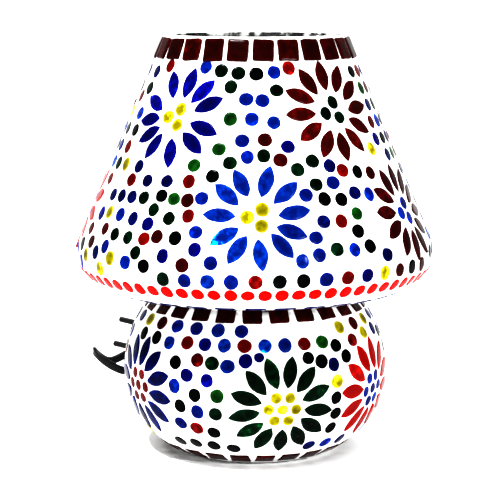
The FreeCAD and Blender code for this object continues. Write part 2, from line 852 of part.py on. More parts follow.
# ---------------------------------------------------------------- the bulb
BULB_LOW = size("bulb_low")
CAP_LOW = BULB_LOW + 4.4
lathe(
    "bulb_contact",
    [(0, BULB_LOW), (3.6, BULB_LOW), (4.5, BULB_LOW + 0.5), (4.5, BULB_LOW + 1.2), (0, BULB_LOW + 1.2)],
)
lathe(
    "bulb_insulator",
    [(0, BULB_LOW + 1.2), (5, BULB_LOW + 1.2), (10.5, CAP_LOW), (10.5, CAP_LOW + 0.6), (0, CAP_LOW + 0.6)],
)
CAP_WALL = 0.6
lathe(
    "bulb_cap",
    [
        (10.5, CAP_LOW),
        (size("bulb_cap_radius"), CAP_LOW + 2),
        (size("bulb_cap_radius"), size("bulb_cap_top")),
        (size("bulb_cap_radius") - CAP_WALL, size("bulb_cap_top")),
        (size("bulb_cap_radius") - CAP_WALL, CAP_LOW + 2.4),
        (10.5, CAP_LOW + 0.8),
    ],
)


def bulb_shape():
    """A round bulb whose neck flares into the sphere."""
    low = number("bulb_cap_top") + 0.1
    neck = number("bulb_neck_radius")
    flare_centre = (neck + 40.5, low + 3.2)
    centre = (0, number("bulb_centre"))
    wall = number("bulb_glass_wall")
    meet = math.degrees(math.atan2(centre[1] - flare_centre[1], centre[0] - flare_centre[0]))
    flare = math.dist(centre, flare_centre) - number("bulb_radius")
    neck = flare_centre[0] - flare

    def half(inset):
        radius = number("bulb_radius") - inset
        return [
            line((neck - inset, low), (neck - inset, flare_centre[1])),
            arc(flare_centre, flare + inset, 180, meet),
            arc(centre, radius, meet - 180, 90),
        ]

    top_out = (0, centre[1] + number("bulb_radius"))
    top_in = (0, top_out[1] - wall)
    edges = half(0) + [line(top_out, top_in)] + half(wall)[::-1]
    return turned_face(edges + [line((neck - wall, low), (neck, low))])


feature("bulb_glass", bulb_shape())
STEM_LOW = size("bulb_cap_top") + 1
lathe(
    "bulb_stem",
    [(0, STEM_LOW), (10, STEM_LOW), (4, STEM_LOW + 9), (3, STEM_LOW + 27), (0, STEM_LOW + 27)],
)


def filament_shape():
    """Two support wires that rise from the stem and carry a half ring of filament."""
    stem_top = number("bulb_cap_top") + 28
    ring_height = number("bulb_centre")
    radius = 8.0
    wires = []
    for side in (-1, 1):
        foot = Vector(side * 2.0, 0, stem_top - 1.5)
        top = Vector(side * radius, 0, ring_height)
        wires.append(Part.makeCylinder(0.45, (top - foot).Length, foot, top - foot))
        wires.append(Part.makeSphere(0.7, top))
    half_ring = Part.makeTorus(radius, 0.35, Vector(0, 0, ring_height), Vector(0, 0, 1), 0, 360, 180)
    return half_ring.multiFuse(wires).removeSplitter()


filament = filament_shape()
filament = filament.cut(Part.makeCylinder(3.2, 28, Vector(0, 0, number("bulb_cap_top"))))
feature("bulb_filament", filament)


# ---------------------------------------------------------------- the flex
FLEX = number("flex_radius")
GROMMET_BACK = 6.0
bore = size("grommet_bore")
grommet = lathe(
    "cord_grommet",
    [
        (bore, 0),
        (7.2, 0),
        (7.2, 2),
        (size("outlet_hole") - 0.4, 2),
        (size("outlet_hole") - 0.4, 6.3),
        (size("grommet_flange"), 6.3),
        (size("grommet_flange"), 8.8),
        (6, 9.6),
        (4.4, size("grommet_nose") + 6),
        (bore, size("grommet_nose") + 6),
    ],
)
grommet.Placement = Placement(OUTLET - OUTLET_OUT * GROMMET_BACK, Rotation(Vector(0, 0, 1), OUTLET_OUT))
EXIT = OUTLET + OUTLET_OUT * number("grommet_nose")


def tube(name, points, radius):
    """A round tube along straight runs joined by tangent arcs as large as the runs allow."""
    edges = []
    start = points[0]
    length, tightest = 0.0, 1e9
    for before, corner, after in zip(points, points[1:], points[2:]):
        back, ahead = before - corner, after - corner
        half_turn = (math.pi - back.getAngle(ahead)) / 2
        cut = 0.45 * min(back.Length, ahead.Length)
        bend = cut / math.tan(half_turn)
        back.normalize()
        ahead.normalize()
        enter, leave = corner + back * cut, corner + ahead * cut
        inward = (back + ahead).normalize()
        crown = corner + inward * (bend / math.cos(half_turn) - bend)
        edges += [Part.LineSegment(start, enter).toShape(), Part.Arc(enter, crown, leave).toShape()]
        length += (enter - start).Length + 2 * half_turn * bend
        tightest = min(tightest, bend)
        start = leave
    edges.append(Part.LineSegment(start, points[-1]).toShape())
    length += (points[-1] - start).Length
    path = Part.Wire(edges)
    section = Part.Wire(Part.makeCircle(radius, points[0], points[1] - points[0]))
    made = path.makePipeShell([section], True, True)
    filled = made.Volume / (math.pi * radius**2 * length)
    print(name, "length", round(length, 1), "tightest bend", round(tightest, 1), "filled", round(filled, 4))
    feature(name, made)
    return length


def inside(across, height):
    return OUTLET_BACK * across + Vector(0, 0, height)


INSIDE_ROUTE = [
    inside(0, number_of(BLOCK_LOW) - 2.5),
    inside(0, 98),
    inside(2, 75),
    inside(11, 54),
    inside(30, 41),
    OUTLET - OUTLET_OUT * 22,
    EXIT,
]
tube("flex_inside", INSIDE_ROUTE, FLEX)

FLOOR = FLEX + 0.2
EXIT_ROUTE = [
    EXIT,
    EXIT - OUTLET_OUT * ((EXIT.z - FLOOR) / OUTLET_OUT.z),
    Vector(45, 99.8, FLOOR),
    Vector(40.5, 114.6, FLOOR),
    Vector(28.1, 123.0, FLOOR),
    Vector(17.0, 123.0, FLOOR),
]
exit_length = tube("cord_exit", EXIT_ROUTE, FLEX)
LOOP_ROUTE = [
    Vector(19.2, 123.0, 26.3),
    Vector(5.2, 123.0, 26.3),
    Vector(-13, 112.5, 26.5),
    Vector(-25, 108.2, 26.6),
    Vector(-37, 113.0, 26.8),
    Vector(-54, 121.0, 28.5),
    Vector(-70, 120.0, 32.0),
    Vector(-86, 114.5, 35.2),
    Vector(-98, 112.5, 31.0),
    Vector(-107, 107.0, 37.0),
    Vector(-111, 97.5, 43.5),
    Vector(-105, 91.0, 36.5),
    Vector(-97, 90.0, 30.5),
    Vector(-88, 91.0, 26.6),
    Vector(-78, 97.0, 28.4),
    Vector(-68, 107.0, 26.4),
    Vector(-58, 112.5, 26.3),
    Vector(-46, 113.0, 26.3),
    Vector(-35, 108.0, 26.5),
]
LOOP_END = Vector(-25, 102.6, 26.7)
loop_length = tube("cord_loop", LOOP_ROUTE + [LOOP_END], FLEX)
plug_turn = math.radians(number("plug_tilt"))
PLUG_AXIS = Vector(-math.cos(plug_turn), 0, math.sin(plug_turn))
PLUG_UP = Vector(math.sin(plug_turn), 0, math.cos(plug_turn))
PLUG_FACE = Vector(-76.7, number("plug_side"), 49.0)
TAIL_END = PLUG_FACE - PLUG_AXIS * (number("plug_length") + number("plug_tail"))
PLUG_ROUTE = [
    LOOP_END,
    Vector(-14, 97.7, 26.4),
    Vector(-1, 90.0, 25.6),
    Vector(12.5, 83.8, 24.8),
    Vector(21.9, 83.2, 24.6),
    Vector(30.3, 87.3, 25.2),
    Vector(35.5, 95.1, 26.3),
    Vector(36.2, 104.5, 27.8),
    Vector(32.1, 113.0, 29.8),
    Vector(24.3, 118.2, 31.8),
    Vector(14.9, 118.9, 32.8),
    Vector(6.7, 115.1, 33.0),
    Vector(0.5, 108.6, 33.0),
    Vector(-7.8, 103.0, 33.2),
    TAIL_END - PLUG_AXIS * 12,
    TAIL_END,
]
plug_cord_length = tube("cord_to_plug", PLUG_ROUTE, FLEX)

# the hank: four turns folded flat and tied at the middle
HANK_LEFT, HANK_RIGHT = number("hank_left"), number("hank_right")
HANK_MIDDLE = (HANK_LEFT + HANK_RIGHT) / 2
HANK_END = (HANK_RIGHT - HANK_LEFT) / 2 - number("hank_end_radius")
HANK_SIDE = number("hank_side")


def hank_outline():
    """Two round ends and a waist under the tie, seen from above."""
    half = [
        (0, number("hank_waist") / 2),
        (4, number("hank_waist") / 2),
        (12, 9.2),
        (30, 19.4),
        (HANK_END, number("hank_end_radius")),
    ]
    right_side = [Vector(HANK_MIDDLE + x, HANK_SIDE + y, 0) for x, y in half[::-1]]
    left_side = [Vector(HANK_MIDDLE - x, HANK_SIDE + y, 0) for x, y in half[1:]]
    back = right_side + left_side
    front = [Vector(point.x, 2 * HANK_SIDE - point.y, 0) for point in back[::-1]]
    left_tip = Vector(HANK_LEFT, HANK_SIDE, 0)
    right_tip = Vector(HANK_RIGHT, HANK_SIDE, 0)
    edges = [Part.LineSegment(a, b).toShape() for a, b in zip(back, back[1:])]
    edges.append(Part.Arc(back[-1], left_tip, front[0]).toShape())
    edges += [Part.LineSegment(a, b).toShape() for a, b in zip(front, front[1:])]
    edges.append(Part.Arc(front[-1], right_tip, back[0]).toShape())
    return Part.Wire(edges)


hank = Part.Face(hank_outline()).extrude(Vector(0, 0, number("hank_height") - 0.1))
hank.translate(Vector(0, 0, 0.1))
tie_half = number("tie_width") / 2
notch = Part.makeBox(2 * tie_half + 0.6, 60, 1.6, Vector(HANK_MIDDLE - tie_half - 0.3, HANK_SIDE - 30, 0))
feature("cord_hank", hank.cut(notch))


def band(half_width, low, high):
    corner = Vector(HANK_MIDDLE - tie_half, HANK_SIDE - half_width, low)
    return Part.makeBox(2 * tie_half, 2 * half_width, high - low, corner)


inner_half = 6.7
tie_top = 29.8
thick = number("tie_thickness")
tie = band(inner_half + thick, 0.1, tie_top + thick).cut(band(inner_half, 0.1 + thick, tie_top))
feature("cord_tie", tie)

# ---------------------------------------------------------------- the plug
plug_matrix = Matrix(
    PLUG_UP.x, 0, PLUG_AXIS.x, PLUG_FACE.x,
    PLUG_UP.y, 1, PLUG_AXIS.y, PLUG_FACE.y,
    PLUG_UP.z, 0, PLUG_AXIS.z, PLUG_FACE.z,
    0, 0, 0, 1,
)  # fmt: skip
PLUG_PLACE = Placement(plug_matrix)


def plug_section(half_height, half_width, corner, depth):
    """A flat six-sided section across the plug, the given depth behind its front face."""
    points = [
        (half_height, half_width - corner),
        (half_height - corner * 1.6, half_width),
        (-half_height + corner * 1.6, half_width),
        (-half_height, half_width - corner),
        (-half_height, -half_width + corner),
        (-half_height + corner * 1.6, -half_width),
        (half_height - corner * 1.6, -half_width),
        (half_height, -half_width + corner),
    ]
    corners = [Vector(x, y, -depth) for x, y in points]
    return Part.makePolygon(corners + corners[:1])


def plug_body_shape():
    tall, thick_half = number("plug_height") / 2, number("plug_thickness") / 2
    long = number("plug_length")
    face = plug_section(tall, thick_half, 3, 0)
    waist = plug_section(tall, thick_half, 3, 14)
    neck = plug_section(6.5, 5.5, 2, long)
    front = Part.makeLoft([face, waist], True)
    taper = Part.makeLoft([waist, neck], True, True)
    tail = Part.makeCone(4.2, 3.6, number("plug_tail"), Vector(0, 0, -long), Vector(0, 0, -1))
    body = front.fuse(taper).fuse(tail).removeSplitter()
    body = body.cut(Part.makeBox(24, 9, 1.2, Vector(-12, -4.5, -1.2)))
    spacing = number("pin_spacing") / 2
    for side in (-1, 1):
        pin_hole = Part.makeCylinder(number("pin_radius"), 8, Vector(side * spacing, 0, -8))
        body = body.cut(pin_hole)
    return body


plug_body = feature("plug_body", plug_body_shape())
plug_body.Placement = PLUG_PLACE
insert = Part.makeBox(24, 9, 1.2, Vector(-12, -4.5, -1.2))
pins = []
for side in (-1, 1):
    spot = Vector(side * number("pin_spacing") / 2, 0, -8)
    radius, reach = number("pin_radius"), number("pin_length")
    insert = insert.cut(Part.makeCylinder(radius, 10, spot))
    shank = Part.makeCylinder(radius, reach + 8 - 1.2, spot)
    nose = Part.makeCone(radius, radius - 0.9, 1.2, spot + Vector(0, 0, reach + 8 - 1.2))
    pins.append(shank.fuse(nose).removeSplitter())
plug_insert = feature("plug_insert", insert)
plug_insert.Placement = PLUG_PLACE
plug_pins = feature("plug_pins", Part.makeCompound(pins))
plug_pins.Placement = PLUG_PLACE


# ---------------------------------------------------------------- checks and export
NODES = (
    ["glass_shade", "glass_base", "grout_bed"]
    + sorted(pieces)
    + ["holder_plate", "thread_tube", "lock_nut", "lock_washer", "holder_cap", "terminal_block"]
    + ["terminal_screws", "holder_contact", "screw_shell", "holder_skirt"]
    + ["bulb_glass", "bulb_cap", "bulb_insulator", "bulb_contact", "bulb_stem", "bulb_filament"]
    + ["flex_inside", "cord_grommet", "cord_exit", "cord_hank", "cord_loop", "cord_to_plug", "cord_tie"]
    + ["plug_body", "plug_insert", "plug_pins"]
)

doc.recompute()
for made in doc.Objects:
    assert not {"Invalid", "Error"} & set(made.State), (made.Label, made.State)
os.makedirs("parts", exist_ok=True)
for node in NODES:
    made = doc.getObject(node)
    assert made is not None, node
    made.Label = node
    assert not made.Shape.isNull() and made.Shape.isValid(), node
    assert made.Shape.Solids, node
    made.Shape.exportStep(f"parts/{node}.step")
print("nodes", len(NODES), "cord in tubes", round(exit_length + loop_length + plug_cord_length))
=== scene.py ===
"""A mushroom-shaped glass table lamp covered in floral glass mosaic, with its flex put away behind it."""

import math
import random

import bpy
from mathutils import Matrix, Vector


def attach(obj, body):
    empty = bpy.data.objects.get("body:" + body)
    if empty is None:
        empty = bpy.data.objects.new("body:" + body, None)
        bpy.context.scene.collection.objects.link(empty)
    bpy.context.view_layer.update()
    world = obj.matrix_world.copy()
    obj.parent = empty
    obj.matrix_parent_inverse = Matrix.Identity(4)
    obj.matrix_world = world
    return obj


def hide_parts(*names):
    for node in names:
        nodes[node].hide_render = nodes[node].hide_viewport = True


MM = 0.001

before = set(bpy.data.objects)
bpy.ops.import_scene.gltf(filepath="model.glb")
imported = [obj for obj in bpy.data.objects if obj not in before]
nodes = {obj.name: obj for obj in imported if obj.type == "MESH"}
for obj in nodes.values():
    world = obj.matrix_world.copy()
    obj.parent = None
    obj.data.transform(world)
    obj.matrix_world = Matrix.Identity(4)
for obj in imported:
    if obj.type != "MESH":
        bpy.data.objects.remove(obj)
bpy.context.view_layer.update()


# ---------------------------------------------------------------- camera
def add_camera():
    data = bpy.data.cameras.new("camera")
    data.lens = 129.6
    data.sensor_width = 36.0
    data.clip_start = 0.01
    data.clip_end = 50.0
    camera = bpy.data.objects.new("camera", data)
    camera.location = (-0.0031, -1.116, 0.2941)
    camera.rotation_euler = (math.radians(90 - 8.62), 0, 0)
    bpy.context.scene.collection.objects.link(camera)
    bpy.context.scene.camera = camera


add_camera()


# ---------------------------------------------------------------- helpers
def add_mesh(name, points, faces, smooth=True):
    mesh = bpy.data.meshes.new(name)
    mesh.from_pydata([tuple(point) for point in points], [], faces)
    mesh.update()
    if smooth:
        mesh.shade_smooth()
    made = bpy.data.objects.new(name, mesh)
    bpy.context.scene.collection.objects.link(made)
    return made


def polar(centre, radius, degrees):
    angle = math.radians(degrees)
    return (centre[0] + radius * math.cos(angle), centre[1] + radius * math.sin(angle))


def new_material(name, colour, roughness, **sockets):
    material = bpy.data.materials.new(name)
    material.use_nodes = True
    shader = material.node_tree.nodes["Principled BSDF"]
    shader.inputs["Base Color"].default_value = (*colour, 1.0)
    shader.inputs["Roughness"].default_value = roughness
    for key, value in sockets.items():
        shader.inputs[key.replace("_", " ")].default_value = value
    return material


def texture_coordinates(material):
    tree = material.node_tree
    coordinates = tree.nodes.new("ShaderNodeTexCoord")
    return tree, coordinates.outputs["Object"]


def add_noise(tree, vector, scale, detail=3.0):
    noise = tree.nodes.new("ShaderNodeTexNoise")
    noise.inputs["Scale"].default_value = scale
    noise.inputs["Detail"].default_value = detail
    tree.links.new(vector, noise.inputs["Vector"])
    return noise.outputs["Fac"]


def add_bump(tree, height, strength, distance):
    bump = tree.nodes.new("ShaderNodeBump")
    bump.inputs["Strength"].default_value = strength
    bump.inputs["Distance"].default_value = distance
    tree.links.new(height, bump.inputs["Height"])
    tree.links.new(bump.outputs["Normal"], tree.nodes["Principled BSDF"].inputs["Normal"])


def dress(node, material):
    mesh = nodes[node].data
    mesh.materials.clear()
    mesh.materials.append(material)


# ---------------------------------------------------------------- flex
FLEX_WIDTH = 5.6 * MM
FLEX_THICKNESS = 2.8 * MM
GROOVE_SHARE = 0.72  # half the flex's thickness at the groove, as a share of a core's radius
OUTLET_HEIGHT = 20.0
OUTLET_TURN = math.radians(25)
GLASS_BOWL = 51.7  # radius of the glass's lower bowl, about a circle of the outline
FLOOR = 3.0
HANK_MIDDLE = -25.0
HANK_SIDE = 106.0
TURNS = 4
BOWL_CENTRE = (27.8, 51.5)
PLUG_FACE = Vector((-76.7, 100.0, 49.0))
PLUG_TILT = math.radians(13.8)
PLUG_AXIS = Vector((-math.cos(PLUG_TILT), 0.0, math.sin(PLUG_TILT)))
TAIL_END = PLUG_FACE - PLUG_AXIS * 48


def cord_outlet():
    """Where the flex's grommet sits in the back of the bowl, and the way it points."""
    drop = math.asin((BOWL_CENTRE[1] - OUTLET_HEIGHT) / GLASS_BOWL)
    reach = BOWL_CENTRE[0] + GLASS_BOWL * math.cos(drop)
    back = Vector((math.sin(OUTLET_TURN), math.cos(OUTLET_TURN), 0.0))
    out = back * math.cos(drop) - Vector((0, 0, math.sin(drop)))
    return back * reach + Vector((0, 0, OUTLET_HEIGHT)), out


OUTLET, OUTLET_OUT = cord_outlet()
EXIT = OUTLET + OUTLET_OUT * 12


def hank_turn(lift):
    """One turn: along the back to the left, round the left end, along the front, round the right end."""
    side = [(30.2, 17.0, 0.0), (12.0, 6.0, 0.5), (0.0, 2.0, 1.6), (-12.0, 6.0, 0.5), (-30.2, 17.0, 0.0)]
    left_end = [(-44.2, 17.0), (-54.2, 7.0), (-54.2, -7.0), (-44.2, -17.0)]
    points = [(x, y, z) for x, y, z in side]
    points += [(x, y, 0.0) for x, y in left_end]
    points += [(-x, -y, z) for x, y, z in side]
    points += [(-x, -y, climb * 5.8) for (x, y), climb in zip(left_end, (0.0, 0.33, 0.67, 1.0))]
    return [Vector((HANK_MIDDLE + x, HANK_SIDE + y, lift + z)) for x, y, z in points]


def flex_route():
    route = [
        EXIT,
        EXIT - OUTLET_OUT * ((EXIT.z - FLOOR) / OUTLET_OUT.z),
        Vector((45.0, 99.8, FLOOR)),
        Vector((40.5, 114.6, FLOOR)),
        Vector((28.1, 123.0, FLOOR)),
        Vector((16.0, 123.0, FLOOR)),
    ]
    for turn in range(TURNS):
        route += hank_turn(FLOOR + turn * 5.8)
    route += [
        Vector((5.2, 123.0, 26.4)),
        Vector((-13.0, 112.5, 26.5)),
        Vector((-25.0, 108.2, 26.6)),
        Vector((-37.0, 113.0, 26.8)),
        Vector((-54.0, 121.0, 28.5)),
        Vector((-70.0, 120.0, 32.0)),
        Vector((-84.0, 114.5, 37.4)),
        Vector((-97.0, 112.5, 30.4)),
        Vector((-102.5, 110.5, 29.8)),
        Vector((-108.5, 105.0, 35.5)),
        Vector((-111.0, 97.0, 41.5)),
        Vector((-105.0, 91.0, 36.0)),
        Vector((-97.0, 90.0, 30.5)),
        Vector((-88.0, 91.0, 26.6)),
        Vector((-78.0, 97.0, 28.4)),
        Vector((-68.0, 107.0, 26.4)),
        Vector((-58.0, 112.5, 26.3)),
        Vector((-46.0, 113.0, 26.3)),
        Vector((-35.0, 108.0, 26.5)),
        Vector((-25.0, 102.6, 26.7)),
        Vector((-14.0, 97.7, 26.4)),
        Vector((-1.0, 90.0, 25.6)),
        Vector((12.5, 83.8, 24.8)),
        Vector((21.9, 83.2, 24.6)),
        Vector((30.3, 87.3, 25.2)),
        Vector((35.5, 95.1, 26.3)),
        Vector((36.2, 104.5, 27.8)),
        Vector((32.1, 113.0, 29.8)),
        Vector((24.3, 118.2, 31.8)),
        Vector((14.9, 118.9, 32.8)),
        Vector((6.7, 115.1, 33.0)),
        Vector((0.5, 108.6, 33.0)),
        Vector((-7.8, 103.0, 33.2)),
        TAIL_END - PLUG_AXIS * 12,
        TAIL_END,
    ]
    return [point * MM for point in route]


def spline_points(name, route):
    """The points along one smooth NURBS line that the route controls."""
    curve = bpy.data.curves.new(name, "CURVE")
    curve.dimensions = "3D"
    curve.resolution_u = 12
    spline = curve.splines.new("NURBS")
    spline.points.add(len(route) - 1)
    for point, place in zip(spline.points, route):
        point.co = (*place, 1.0)
    spline.order_u = 3
    spline.use_endpoint_u = True
    holder = bpy.data.objects.new(name, curve)
    bpy.context.scene.collection.objects.link(holder)
    bpy.context.view_layer.update()
    mesh = bpy.data.meshes.new_from_object(holder)
    points = [vertex.co.copy() for vertex in mesh.vertices]
    bpy.data.objects.remove(holder)
    bpy.data.meshes.remove(mesh)
    return points


def twin_section(steps=10):
    """The outline of two cores side by side with a groove between them, as (thickness, width) places."""
    radius = FLEX_THICKNESS / 2
    reach = FLEX_WIDTH / 2 - radius
    section = []
    for side in (1, -1):
        for i in range(steps + 1):
            angle = math.radians(-65 + 130 * i / steps)
            section.append((side * -radius * math.sin(angle), side * (reach + radius * math.cos(angle))))
        section.append((side * -radius * GROOVE_SHARE, 0.0))
    return section


def swept(name, points, section):
    """The section carried along the points with its width kept as upright as the line allows."""
    rings, faces = [], []
    count = len(section)
    for i, point in enumerate(points):
        tangent = (points[min(i + 1, len(points) - 1)] - points[max(i - 1, 0)]).normalized()
        width = Vector((0, 0, 1)) - tangent * tangent.z
        width.normalize()
        across = tangent.cross(width)
        rings += [point + across * u + width * v for u, v in section]
    for i in range(len(points) - 1):
        for j in range(count):
            k = (j + 1) % count
            faces.append((i * count + j, i * count + k, (i + 1) * count + k, (i + 1) * count + j))
    faces.append(tuple(range(count))[::-1])
    faces.append(tuple((len(points) - 1) * count + j for j in range(count)))
    return add_mesh(name, rings, faces)


rubber = new_material("black_flex", (0.0035, 0.0035, 0.004), 0.38, Specular_IOR_Level=0.16)
line = spline_points("flex_line", flex_route())
flex = swept("flex", line, twin_section())
flex.data.materials.append(rubber)
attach(flex, "lamp")
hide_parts("cord_exit", "cord_hank", "cord_loop", "cord_to_plug")


# ---------------------------------------------------------------- mosaic
# each glass: its colour in the middle, at the edge and its painted glint, where it is brightest, and its
# slot
GLASS = {
    "navy": ((0.0008, 0.0012, 0.016), (0.002, 0.008, 0.13), (0.002, 0.02, 0.25), "navy_glass"),
    "deep_blue": ((0.0008, 0.001, 0.030), (0.002, 0.003, 0.21), (0.01, 0.03, 0.75), "deep_blue_glass"),
    "blue": ((0.0008, 0.003, 0.045), (0.001, 0.020, 0.30), (0.002, 0.10, 0.60), "blue_glass"),
    "bright_blue": ((0.0006, 0.003, 0.050), (0.001, 0.035, 0.33), (0.003, 0.50, 0.92), "bright_blue_glass"),
    "dark_green": ((0.0005, 0.0012, 0.0008), (0.001, 0.02, 0.006), (0.004, 0.20, 0.03), "dark_green_glass"),
    "green": ((0.001, 0.008, 0.0015), (0.01, 0.12, 0.01), (0.10, 0.55, 0.06), "green_glass"),
    "black": ((0.0005, 0.0005, 0.0006), (0.0008, 0.002, 0.002), (0.002, 0.006, 0.006), "black_glass"),
    "maroon": ((0.012, 0.0008, 0.0006), (0.075, 0.002, 0.002), (0.30, 0.006, 0.005), "maroon_glass"),
    "tile_maroon": ((0.007, 0.0008, 0.0006), (0.036, 0.0012, 0.001), (0.14, 0.004, 0.003), "maroon_glass"),
    "oxblood": ((0.009, 0.0005, 0.0008), (0.045, 0.001, 0.002), (0.14, 0.002, 0.005), "oxblood_glass"),
    "red": ((0.040, 0.0010, 0.0008), (0.19, 0.002, 0.001), (0.80, 0.006, 0.003), "red_glass"),
    "olive": ((0.050, 0.042, 0.0008), (0.68, 0.60, 0.010), (0.95, 0.92, 0.10), "olive_glass"),
    "poppy_red": ((0.17, 0.0012, 0.0010), (0.36, 0.002, 0.001), (0.80, 0.010, 0.004), "red_glass"),
    "bright_red": ((0.44, 0.0012, 0.0008), (0.58, 0.002, 0.001), (0.85, 0.01, 0.004), "red_glass"),
}
NODE_GLASS = {
    "rim_tiles": "tile_maroon",
    "shoulder_tiles": "tile_maroon",
    "foot_tiles": "tile_maroon",
    "underside_tiles": "navy",
    "edge_ovals": "bright_red",
}
for node in nodes:
    for prefix in ("dots_", "petals_"):
        if node.startswith(prefix):
            NODE_GLASS[node] = node[len(prefix) :]
NODE_GLASS["petals_red"] = "poppy_red"


def piece_points(mesh):
    """The corner points of each separate piece in a mesh, joined where their corners share a place."""
    key_of = [tuple(round(value, 6) for value in vertex.co) for vertex in mesh.vertices]
    owner = {key: key for key in key_of}

    def root(key):
        while owner[key] != key:
            owner[key] = owner[owner[key]]
            key = owner[key]
        return key

    for polygon in mesh.polygons:
        first = root(key_of[polygon.vertices[0]])
        for index in polygon.vertices[1:]:
            owner[root(key_of[index])] = first
    groups = {}
    for key in owner:
        groups.setdefault(root(key), []).append(Vector(key))
    flats = {}
    for polygon in mesh.polygons:
        group = root(key_of[polygon.vertices[0]])
        best = flats.setdefault(group, {})
        facing = tuple(round(value, 2) for value in polygon.normal)
        best[facing] = best.get(facing, 0.0) + polygon.area
    pieces = []
    for group, corners in sorted(groups.items()):
        facing = max(flats[group], key=flats[group].get)
        pieces.append((corners, Vector(facing).normalized()))
    return pieces


def outward_of(point, normal):
    """The normal turned to point away from the inside of the vessel."""
    around = Vector((point.x, point.y, 0.0)).normalized()
    inside = around * 0.06 + Vector((0, 0, 0.14)) if point.z > 0.098 else Vector((0, 0, 0.05))
    return normal if normal.dot(point - inside) > 0 else -normal


def hull(points):
    """The convex outline of flat points, counter-clockwise."""
    ordered = sorted(set(points))

    def half(sequence):
        chain = []
        for point in sequence:
            while len(chain) > 1:
                a, b = chain[-2], chain[-1]
                turn = (b[0] - a[0]) * (point[1] - a[1]) - (b[1] - a[1]) * (point[0] - a[0])
                if turn > 1e-12:
                    break
                chain.pop()
            chain.append(point)
        return chain[:-1]

    return half(ordered) + half(ordered[::-1])


def resampled(outline, count):
    """Evenly spaced points round a closed outline, the nearest ones moved onto its sharp corners."""
    lengths = [math.dist(a, b) for a, b in zip(outline, outline[1:] + outline[:1])]
    total = sum(lengths)
    samples, starts = [], []
    at, start = 0, 0.0
    for length in lengths:
        starts.append(start)
        start += length
    for i in range(count):
        place = total * i / count
        while at < len(lengths) - 1 and starts[at] + lengths[at] < place:
            at += 1
        share = (place - starts[at]) / lengths[at]
        a, b = outline[at], outline[(at + 1) % len(outline)]
        samples.append((a[0] + (b[0] - a[0]) * share, a[1] + (b[1] - a[1]) * share))
    for i, corner in enumerate(outline):
        before, after = outline[i - 1], outline[(i + 1) % len(outline)]
        into = math.atan2(corner[1] - before[1], corner[0] - before[0])
        out = math.atan2(after[1] - corner[1], after[0] - corner[0])
        if abs(math.remainder(out - into, 2 * math.pi)) > math.radians(33):
            nearest = min(range(count), key=lambda k: math.dist(samples[k], corner))
            samples[nearest] = corner
    return samples


DEPTH = 2.78 * MM
RIM_PROUD = 0.9 * MM  # how far the tiles round the mouth stand out
RIM_GROWTH, RIM_NARROWING = 1.11, 0.10  # those tiles are taller than their solids, and as wide
CROWN = 0.17 * MM
RINGS = [  # how far the outline is drawn in, height above the mosaic's face, edge tint
    (0.94, -DEPTH, 0.2),
    (1.00, -1.3 * MM, 0.3),
    (1.00, -0.34 * MM, 0.4),
    (0.975, -0.12 * MM, 1.0),
    (0.90, 0.02 * MM, 0.6),
    (0.72, 0.11 * MM, 0.2),
    (0.40, 0.16 * MM, 0.0),
]


